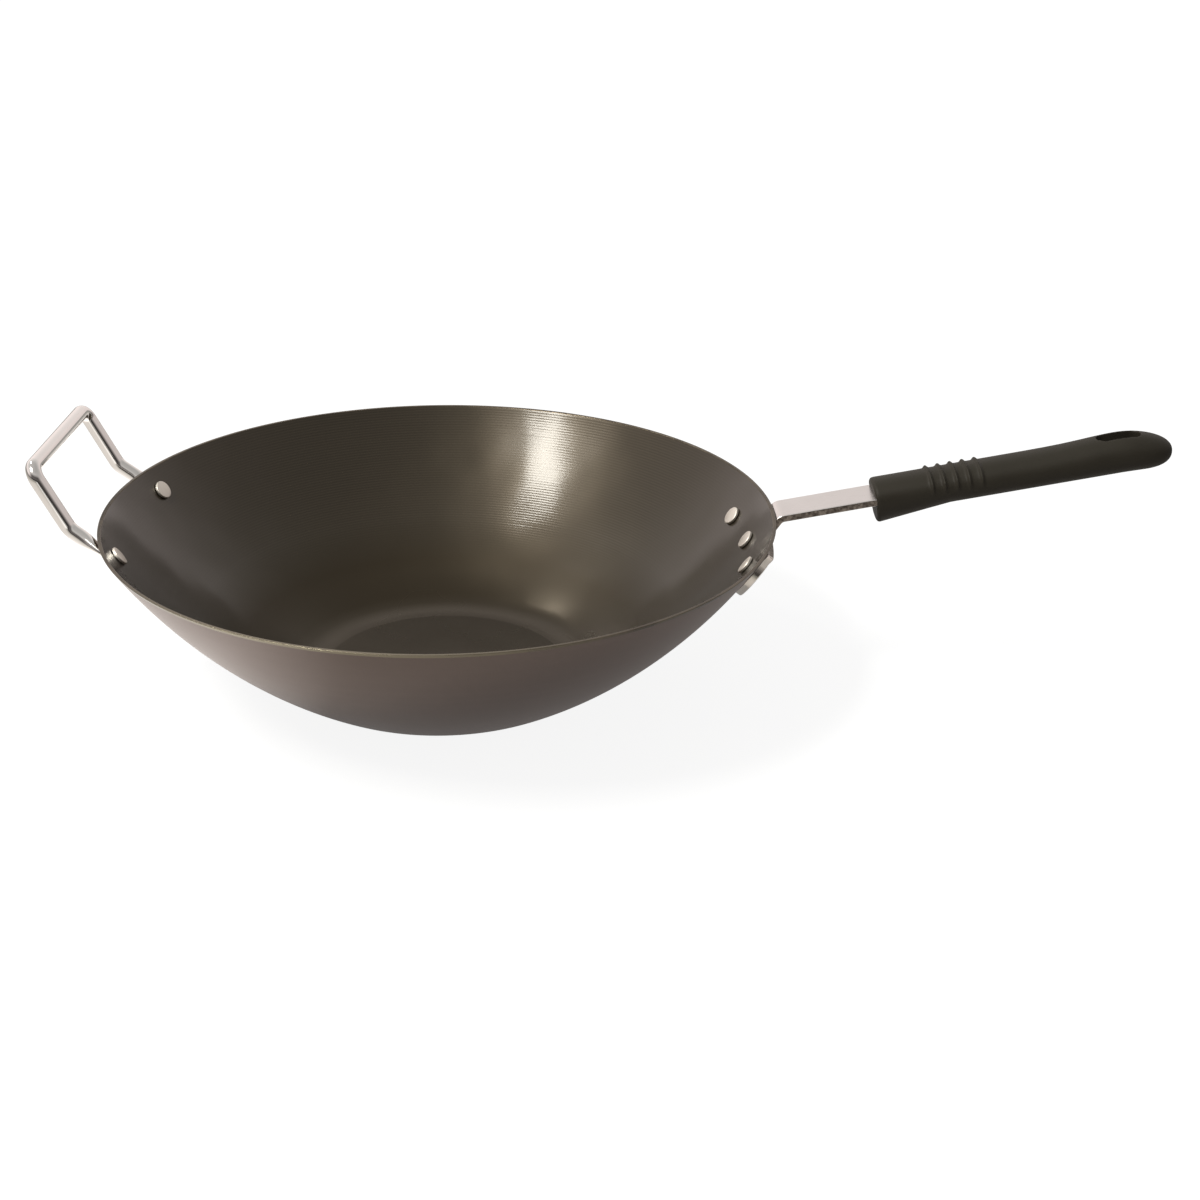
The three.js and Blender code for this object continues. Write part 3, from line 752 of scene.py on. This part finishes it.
def helper_end(place, other_corner):
    """Stops from a tab's tip to the top bar: point, half width, half thickness and squareness."""
    normal = place.col[2].xyz
    seat = place.translation
    up = helper_across.cross(normal).normalized()
    up *= math.copysign(1, up.z)
    tab_half = TAB_THICKNESS / 2
    rod_half = ROD / 2
    tab_middle = seat + normal * (CLEARANCE + tab_half)
    tab_top = tab_middle + up * (RIVET_DOME / 2 + TAB_MARGIN)
    knee = helper_knee(seat)
    corner = helper_corner(seat)
    stops = []
    for turn in spread(0, math.pi / 2, ARC_STEPS)[1:]:
        point = tab_middle - up * (TAB_WIDTH / 2 * math.cos(turn))
        thickness = tab_half * min(1, TAB_TIP + TAB_TIP_SWELL * math.sin(turn))
        stops.append((point, TAB_WIDTH / 2 * math.sin(turn), thickness, TAB_SQUARENESS))
    ramp = corner_arc(tab_middle, tab_top, knee, TAB_BEND)
    rise = (knee - tab_top).normalized()
    full = tab_top + rise * ((rod_half - tab_half) / rise.dot(normal) * 2)
    path = [stops[-1][0].lerp(ramp[0], share) for share in spread(0, 1, TAB_STEPS)[1:-1]]
    path += ramp
    path += [ramp[-1].lerp(full, share) for share in spread(0, 1, RAMP_STEPS)[1:]]
    lengths = [0.0]
    for before, after in zip([stops[-1][0]] + path, path):
        lengths.append(lengths[-1] + (after - before).length)
    for point, length in zip(path, lengths[1:]):
        share = smooth(length / lengths[-1], TAB_FLAT_SHARE, 1)
        stops.append((
            point, lerp(TAB_WIDTH / 2, rod_half, share), lerp(tab_half, rod_half, share),
            lerp(TAB_SQUARENESS, ROD_SQUARENESS, share)))
    rods = corner_arc(tab_top, knee, corner, KNEE_BEND + rod_half)
    rods += corner_arc(knee, corner, other_corner, CORNER_BEND + rod_half)
    return stops + [(point, rod_half, rod_half, ROD_SQUARENESS) for point in rods]


def helper_handle():
    first, second = helper_rivet_frames
    stops = helper_end(first, helper_corner(second.translation))
    stops += helper_end(second, helper_corner(first.translation))[::-1]
    normal = first.col[2].xyz.copy()
    heading = (stops[1][0] - stops[0][0]).normalized()
    rings = []
    for k, (point, across, out, square) in enumerate(stops):
        after = stops[min(k + 1, len(stops) - 1)][0] - stops[max(k - 1, 0)][0]
        after.normalize()
        normal.rotate(heading.rotation_difference(after))
        heading = after
        side = heading.cross(normal)
        ring = []
        for step in range(ROD_STEPS):
            turn = 2 * math.pi * step / ROD_STEPS
            x = math.copysign(abs(math.cos(turn)) ** (2 / square), math.cos(turn))
            y = math.copysign(abs(math.sin(turn)) ** (2 / square), math.sin(turn))
            ring.append(point + side * (across * x) + normal * (out * y))
        rings.append(ring)
    return loft("helper", rings, stops[0][0], stops[-1][0])


# Materials

def put(tree, kind, inputs=(), **settings):
    """A new node, with each input given as a socket to link or as a value."""
    made = tree.nodes.new(kind)
    for key, value in settings.items():
        setattr(made, key, value)
    for key, value in dict(inputs).items():
        if isinstance(value, bpy.types.NodeSocket):
            tree.links.new(value, made.inputs[key])
        else:
            made.inputs[key].default_value = value
    return made


def sums(tree, operation, a, b=0.0):
    return put(tree, 'ShaderNodeMath', {0: a, 1: b}, operation=operation).outputs[0]


def times(tree, a, b):
    return sums(tree, 'MULTIPLY', a, b)


def axes(tree, place):
    return put(tree, 'ShaderNodeSeparateXYZ', {0: place}).outputs


def on_line(tree, value):
    """A place for a noise that changes with one value only."""
    return put(tree, 'ShaderNodeCombineXYZ', {"X": value}).outputs[0]


def stretched(tree, place, scale):
    return put(tree, 'ShaderNodeVectorMath', {0: place, 1: scale}, operation='MULTIPLY').outputs[0]


def distance(tree, place):
    return put(tree, 'ShaderNodeVectorMath', {0: place}, operation='LENGTH').outputs["Value"]


def noise(tree, place, scale, detail=3.0, rough=0.5):
    made = put(tree, 'ShaderNodeTexNoise', {
        "Vector": place, "Scale": scale, "Detail": detail, "Roughness": rough})
    return made.outputs["Fac"]


def ranged(tree, value, low, high, to_low, to_high):
    made = put(tree, 'ShaderNodeMapRange', {
        "Value": value, "From Min": low, "From Max": high, "To Min": to_low, "To Max": to_high})
    return made.outputs["Result"]


def varied(tree, cloud, to_low, to_high):
    """A value that follows a noise over the range that the noise mostly keeps to."""
    return ranged(tree, cloud, NOISE_LOW, NOISE_HIGH, to_low, to_high)


def between(tree, share, first, second):
    made = put(tree, 'ShaderNodeMix', data_type='RGBA')
    tree.links.new(share, made.inputs["Factor"])
    for key, value in (("A", first), ("B", second)):
        socket = [one for one in made.inputs if one.name == key and one.type == 'RGBA'][0]
        if isinstance(value, bpy.types.NodeSocket):
            tree.links.new(value, socket)
        else:
            socket.default_value = (*value, 1)
    return [one for one in made.outputs if one.type == 'RGBA'][0]


def bump(tree, height, depth, strength=1.0, normal=None):
    inputs = {"Height": height, "Distance": depth, "Strength": strength}
    if normal:
        inputs["Normal"] = normal
    return put(tree, 'ShaderNodeBump', inputs).outputs["Normal"]


def paint(name, **sockets):
    """A new material, with constants on its shader's sockets. A socket's spaces are written as _."""
    made = bpy.data.materials.new(name)
    made.use_nodes = True
    tree = made.node_tree
    shader = tree.nodes["Principled BSDF"]
    for key, value in sockets.items():
        shader.inputs[key.replace("_", " ")].default_value = value
    place = put(tree, 'ShaderNodeTexCoord').outputs["Object"]
    return made, tree, shader, place


def link(tree, shader, **sources):
    for key, source in sources.items():
        tree.links.new(source, shader.inputs[key.replace("_", " ")])


def around(tree, place):
    """Radius from the bowl's axis and the length up the wall's arc, as sockets."""
    radius = distance(tree, stretched(tree, place, (1, 1, 0)))
    out = sums(tree, 'SUBTRACT', radius, ARC_CENTRE.x)
    down = sums(tree, 'SUBTRACT', ARC_CENTRE.y, axes(tree, place)["Z"])
    angle = sums(tree, 'ARCTAN2', out, down)
    return radius, times(tree, angle, WALL_ARC - WALL)


def turned_rings(tree, place, radius, arc):
    """Height of the turned rings, fainter towards the handles, and where the wall has them."""
    drift = times(tree, noise(tree, place, 30), 1.2)
    phase = sums(tree, 'ADD', times(tree, arc, 2 * math.pi / RING_PITCH), drift)
    depth = ranged(tree, noise(tree, on_line(tree, arc), 500, 1), 0.35, 0.65, 0.45, 1.35)
    on_wall = ranged(tree, radius, RINGS_FROM, RINGS_FULL, 0, 1)
    across = sums(tree, 'ABSOLUTE', axes(tree, place)["Y"])
    scoured = ranged(tree, sums(tree, 'DIVIDE', across, radius), 0.35, 0.8, 0.25, 1)
    depth = times(tree, depth, times(tree, on_wall, scoured))
    return times(tree, sums(tree, 'SINE', phase), depth), on_wall


def coat_inside():
    made, tree, shader, place = paint(
        "coat_inside", IOR=1.5, Specular_Tint=(1.0, 0.82, 0.6, 1.0),
        Coat_IOR=1.33, Coat_Roughness=0.15)
    radius, arc = around(tree, place)
    cloud = noise(tree, place, 14)
    grain = noise(tree, place, 1800, 2)
    ring, on_wall = turned_rings(tree, place, radius, arc)
    grained = ranged(tree, grain, 0.35, 0.75, 0, 0.35)
    low_wall = ranged(tree, radius, LOW_WALL_END, LOW_WALL, 0, 1)
    on_disc = ranged(tree, radius, BASE_RADIUS + BASE_FILLET / 2, BASE_RADIUS, 0, 1)
    # past_disc and in_corner mark a band just past the disc's edge, where a lighter tone is painted as a
    # highlight on the fillet's start.
    past_disc = ranged(tree, radius, BASE_RADIUS - DISC_STEP, BASE_RADIUS + DISC_STEP, 0, 1)
    in_corner = ranged(tree, radius, BASE_RADIUS + CORNER_BAND_END, BASE_RADIUS + CORNER_BAND, 0, 1)
    # Painted light and shade of the turned rings: the coat is lighter on the rings' crests and keeps its
    # darker tone in the troughs, on the wall only.
    painted_ring_light = times(tree, ranged(tree, ring, -0.9, 0.9, 0, 0.75), on_wall)
    colour = between(tree, cloud, COAT_DARK, COAT_LIGHT)
    for share, tone in (
            (grained, COAT_GRAIN), (low_wall, COAT_LOW_WALL), (on_disc, COAT_DISC),
            (times(tree, past_disc, in_corner), COAT_PAINTED_CORNER_HIGHLIGHT), (painted_ring_light, COAT_PAINTED_RING_LIGHT)):
        colour = between(tree, share, colour, tone)
    sway = bump(tree, noise(tree, place, 42, 0), SWAY_DEPTH)
    rings = bump(tree, ring, RING_DEPTH, 1.0, sway)
    fine = bump(tree, grain, GRAIN_DEPTH, 0.15, rings)
    past_corner = ranged(tree, radius, CORNER_END, WALL_START, 0, 0.11)
    rough = sums(tree, 'ADD', varied(tree, cloud, 0.25, 0.3), past_corner)
    link(
        tree, shader, Base_Color=colour, Normal=fine, Roughness=rough,
        Coat_Weight=on_wall, Coat_Normal=rings)
    return made


def coat_outside():
    made, tree, shader, place = paint(
        "coat_outside", Metallic=1.0, Specular_Tint=(1.0, 0.93, 0.9, 1.0),
        Coat_Weight=0.45, Coat_IOR=1.5, Coat_Roughness=0.3)
    _, arc = around(tree, place)
    cloud = noise(tree, place, 10)
    bands = noise(tree, on_line(tree, arc), 120, 2)
    colour = between(tree, cloud, (0.102, 0.0745, 0.0615), (0.122, 0.089, 0.0745))
    colour = between(tree, ranged(tree, bands, 0.4, 0.7, 0, 0.2), colour, (0.14, 0.108, 0.092))
    fine = bump(tree, noise(tree, place, 800, 2), GRAIN_DEPTH, 0.5)
    link(tree, shader, Base_Color=colour, Normal=fine, Roughness=varied(tree, cloud, 0.36, 0.44))
    return made


def rim_steel():
    made, tree, shader, place = paint("rim_steel", Metallic=1.0)
    worn = noise(tree, place, 60, 4)
    # Random wear between dull and bare steel, then a painted glint: much brighter metal towards the front
    # on the loop's side.
    dull, bare, painted_glint = (0.08, 0.065, 0.045), (0.125, 0.103, 0.074), (0.24, 0.21, 0.15)
    colour = between(tree, ranged(tree, worn, 0.4, 0.6, 0, 1), dull, bare)
    side = axes(tree, place)
    to_front = ranged(tree, side["Y"], -0.08, -0.15, 0, 1)
    to_loop = ranged(tree, side["X"], 0.09, -0.02, 0, 1)
    colour = between(tree, times(tree, to_front, to_loop), colour, painted_glint)
    link(tree, shader, Base_Color=colour, Roughness=varied(tree, worn, 0.24, 0.34))
    return made


def strap_top():
    made, tree, shader, place = paint("strap_top", Metallic=1.0)
    brushed = noise(tree, stretched(tree, place, (60, 2200, 60)), 1, 4)
    colour = between(tree, noise(tree, place, 70), (0.77, 0.735, 0.72), (0.85, 0.815, 0.8))
    fine = bump(tree, brushed, GRAIN_DEPTH, 0.35)
    link(tree, shader, Base_Color=colour, Normal=fine, Roughness=varied(tree, brushed, 0.26, 0.4))
    return made


def strap_edge():
    made, tree, shader, place = paint("strap_edge", Metallic=1.0)
    blotch = noise(tree, place, 420, 4, 0.65)
    streak = noise(tree, stretched(tree, place, (1200, 1200, 150)), 1, 2)
    # Painted shade: the cut edges are a much darker copy of the strap's steel, blotched between two dark
    # tones.
    painted_edge_shade, bare = (0.1, 0.083, 0.07), (0.31, 0.268, 0.232)
    colour = between(tree, ranged(tree, blotch, 0.38, 0.62, 0, 1), painted_edge_shade, bare)
    fine = bump(tree, streak, 2 * GRAIN_DEPTH, 0.5)
    link(tree, shader, Base_Color=colour, Normal=fine, Roughness=varied(tree, blotch, 0.5, 0.36))
    return made


def mottled(name, tones, cloud_scale, grain_scale, depth, strength, roughness, **sockets):
    """A material whose tone and roughness follow one noise, with the relief of another."""
    made, tree, shader, place = paint(name, **sockets)
    cloud = noise(tree, place, cloud_scale)
    relief = bump(tree, noise(tree, place, grain_scale, 2), depth, strength)
    link(
        tree, shader, Base_Color=between(tree, cloud, *tones), Normal=relief,
        Roughness=varied(tree, cloud, *roughness))
    return made


# The pieces

polish = mottled(
    "foot_polish", tones=((0.66, 0.61, 0.53), (0.84, 0.8, 0.74)), cloud_scale=180,
    grain_scale=220, depth=0.0001, strength=0.6, roughness=(0.12, 0.22), Metallic=1.0)
satin = mottled(
    "rivet_satin", tones=((0.72, 0.67, 0.6), (0.88, 0.83, 0.76)), cloud_scale=260,
    grain_scale=1500, depth=0.00002, strength=0.5, roughness=(0.42, 0.54), Metallic=1.0)
chrome = mottled(
    "loop_chrome", tones=((0.88, 0.85, 0.825), (0.94, 0.91, 0.885)), cloud_scale=90,
    grain_scale=160, depth=0.00004, strength=0.5, roughness=(0.06, 0.1), Metallic=1.0)
black = mottled(
    "grip_black", tones=((0.029, 0.0248, 0.018), (0.038, 0.0333, 0.025)), cloud_scale=60,
    grain_scale=2200, depth=0.00006, strength=0.4, roughness=(0.5, 0.6), Specular_IOR_Level=0.2)


def finish_piece(made, node, slot, *materials):
    for material in materials:
        made.data.materials.append(material)
    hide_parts(node)
    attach(made, "root")


finish_piece(
    weigh_normals(wok_bowl()), "wok_bowl", "bowl_coating", coat_inside(), coat_outside(), rim_steel())
finish_piece(handle_bracket(), "handle_bracket", "strap_steel", strap_top(), strap_edge(), polish)
for number, place in enumerate(handle_rivet_frames, 1):
    made = rivet(f"rivet_{number}", BAR_THICKNESS, place)
    finish_piece(made, f"handle_rivet_{number}", "rivet_steel", satin)
for number, place in enumerate(helper_rivet_frames, 1):
    made = rivet(f"loop_rivet_{number}", TAB_THICKNESS, place)
    finish_piece(made, f"helper_rivet_{number}", "rivet_steel", satin)
finish_piece(helper_handle(), "helper_handle", "loop_chrome", chrome)
finish_piece(handle_grip(), "handle_grip", "grip_black", black)
finish_piece(grip_screw(), "grip_screw", "rivet_steel", satin)


# Floor, light and camera

def mirrored(tree, rays):
    """1 for a ray that a surface mirrors or passes on, else 0."""
    return sums(tree, 'MAXIMUM', rays["Is Glossy Ray"], rays["Is Transmission Ray"])


def floor():
    """White to the camera, apart from the shadow, and dimmer where the object mirrors it."""
    signs = ((-1, -1), (1, -1), (1, 1), (-1, 1))
    corners = [(x * FLOOR_REACH, y * FLOOR_REACH, -FLOOR_DROP) for x, y in signs]
    made = piece("floor", corners, [(0, 1, 2, 3)])
    material = bpy.data.materials.new("floor_white")
    material.use_nodes = True
    tree = material.node_tree
    tree.nodes.clear()
    rays = put(tree, 'ShaderNodeLightPath').outputs
    place = put(tree, 'ShaderNodeTexCoord').outputs["Object"]
    away = distance(tree, place)
    side = axes(tree, place)["X"]
    matte = between(tree, ranged(tree, away, 0.28, 0.8, 0, 1), FLOOR_NEAR, FLOOR_FAR)
    matte = between(tree, rays["Is Camera Ray"], matte, FLOOR_SEEN)
    diffuse = put(tree, 'ShaderNodeBsdfDiffuse', {"Color": matte})
    by_loop = times(
        tree, ranged(tree, side, -0.06, -0.14, 0, FLOOR_GLOW_BY_LOOP),
        ranged(tree, side, -0.3, -0.2, 0, 1))
    dim = times(tree, mirrored(tree, rays), sums(tree, 'ADD', FLOOR_GLOW_MIRRORED, by_loop))
    seen = ranged(tree, away, 0.5, 1.2, FLOOR_GLOW_SEEN, 1)
    glow = put(tree, 'ShaderNodeEmission', {
        "Strength": ranged(tree, rays["Is Camera Ray"], 0, 1, dim, seen)})
    both = put(tree, 'ShaderNodeAddShader', {0: diffuse.outputs[0], 1: glow.outputs[0]})
    put(tree, 'ShaderNodeOutputMaterial', {"Surface": both.outputs[0]})
    made.data.materials.append(material)


def softbox(name, azimuth, elevation, width, height, roll, radiance):
    """A rectangular lamp that faces the origin. Its angles are in degrees."""
    azimuth, elevation = math.radians(azimuth), math.radians(elevation)
    level = math.cos(elevation)
    away = Vector((math.cos(azimuth) * level, math.sin(azimuth) * level, math.sin(elevation)))
    lamp = bpy.data.lights.new(name, 'AREA')
    lamp.shape = 'RECTANGLE'
    lamp.size = width
    lamp.size_y = height
    lamp.energy = radiance * math.pi * width * height
    lamp.color = LAMP_COLOUR
    made = shown(name, lamp)
    made.location = away * LAMP_DISTANCE
    turn = away.to_track_quat('Z', 'Y').to_matrix() @ Matrix.Rotation(math.radians(roll), 3, 'Z')
    made.rotation_euler = turn.to_euler()


def world():
    """Even fill for matte surfaces, white for the camera, and for metal a studio that dims in places."""
    made = bpy.data.worlds.new("studio")
    bpy.context.scene.world = made
    made.use_nodes = True
    tree = made.node_tree
    way = axes(tree, put(tree, 'ShaderNodeTexCoord').outputs["Generated"])
    rays = put(tree, 'ShaderNodeLightPath').outputs
    studio = ranged(tree, way["Z"], 0.3, 0.85, 0.72, 0.45)
    studio = times(tree, studio, ranged(tree, way["X"], -0.8, 0.8, 1.3, 0.82))
    studio = times(tree, studio, ranged(tree, way["Y"], 0.35, 0.75, 1.0, 1.18))
    at_horizon = times(
        tree, ranged(tree, way["Z"], 0.2, 0.03, 0, 0.84), ranged(tree, way["Y"], 0.9, 0.7, 0, 1))
    low_in_front = times(
        tree, ranged(tree, way["Y"], -0.3, -0.75, 0, 0.85), ranged(tree, way["Z"], 0.7, 0.45, 0, 1))
    for dimmed in (at_horizon, low_in_front):
        studio = times(tree, studio, sums(tree, 'SUBTRACT', 1.0, dimmed))
    for_metal = mirrored(tree, rays)
    level = ranged(tree, for_metal, 0, 1, WORLD_FILL, studio)
    tint = between(tree, ranged(tree, way["Z"], 0.2, 0.7, 0, 1), STUDIO_LOW_TINT, STUDIO_TINT)
    sky = tree.nodes["Background"]
    tree.links.new(between(tree, for_metal, WHITE, tint), sky.inputs["Color"])
    tree.links.new(sums(tree, 'MAXIMUM', level, rays["Is Camera Ray"]), sky.inputs["Strength"])


def camera():
    lens = bpy.data.cameras.new("camera")
    lens.sensor_width = CAMERA_SENSOR
    lens.lens = CAMERA_LENS
    lens.clip_end = CAMERA_REACH
    made = shown("camera", lens)
    place = Vector(CAMERA_PLACE)
    turn = (Vector(CAMERA_TARGET) - place).to_track_quat('-Z', 'Y').to_matrix()
    turn = turn @ Matrix.Rotation(CAMERA_ROLL, 3, 'Z')
    made.matrix_world = Matrix.Translation(place) @ turn.to_4x4()
    bpy.context.scene.camera = made


floor()
softbox("key", azimuth=-146.3, elevation=55.3, width=0.7, height=0.34, roll=-39, radiance=36)
softbox("key_wide", azimuth=-144, elevation=53, width=1.0, height=0.5, roll=0, radiance=1.6)
softbox("kicker", azimuth=143, elevation=52.5, width=0.4, height=0.2, roll=60, radiance=14)
world()
camera()
bpy.context.scene.view_settings.view_transform = 'Standard'
